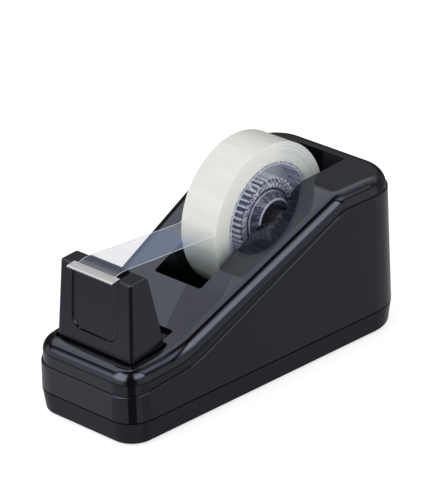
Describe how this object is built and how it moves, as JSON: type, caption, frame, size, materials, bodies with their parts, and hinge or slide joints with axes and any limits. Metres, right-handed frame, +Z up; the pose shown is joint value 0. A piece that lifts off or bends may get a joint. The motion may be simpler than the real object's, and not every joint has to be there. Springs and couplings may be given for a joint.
{
  "type": "tape dispenser",
  "caption": "Weighted desktop tape dispenser: wedge-shaped glossy body, open well with a lift-out reel of tape on a ribbed clear core, and a toothed cutting blade on a front tower.",
  "frame": {"origin": "centre of the bounding box's bottom face, on the table under the middle of the body", "axes": "+Z up; -Y towards the blade end, where the tape is pulled off; +X across the body, along the axle; x = 0 is the plane of symmetry"},
  "size_m": [0.073, 0.15, 0.0862],
  "materials": {
    "shell_black": "moulded, high gloss",
    "tray_black": "moulded, semi gloss",
    "pad_foam": "soft closed-cell foam",
    "ballast_iron": "rough cast",
    "base_screw_steel": "zinc plated",
    "tower_screw_steel": "zinc plated",
    "tower_black": "moulded, high gloss",
    "blade_steel": "bright rolled strip",
    "axle_dark": "moulded",
    "hub_clear": "clear moulding",
    "core_clear": "clear moulding",
    "tape_wound": "milky layered film",
    "tape_free": "translucent film"
  },
  "bodies": {
    "housing": {"top_shell": "shell_black", "base_tray": "tray_black", "non_slip_pad": "pad_foam", "ballast_block": "ballast_iron", "base_screws": "base_screw_steel", "tower_screws": "tower_screw_steel", "cutter_tower": "tower_black", "cutter_blade": "blade_steel"},
    "axle_carrier": {"axle": "axle_dark", "tape_strip": "tape_free"},
    "reel": {"spool_hub": "hub_clear", "tape_core": "core_clear", "tape_roll": "tape_wound"}
  },
  "joints": [
    {"name": "reel_lift", "type": "slide", "parent": "housing", "child": "axle_carrier", "axis": [0, 0, 1], "range_m": [0, 0.06]},
    {"name": "reel_spin", "type": "hinge", "parent": "axle_carrier", "child": "reel", "pos_m": [0, 0.0234, 0.0551], "axis": [1, 0, 0], "continuous": true}
  ]
}
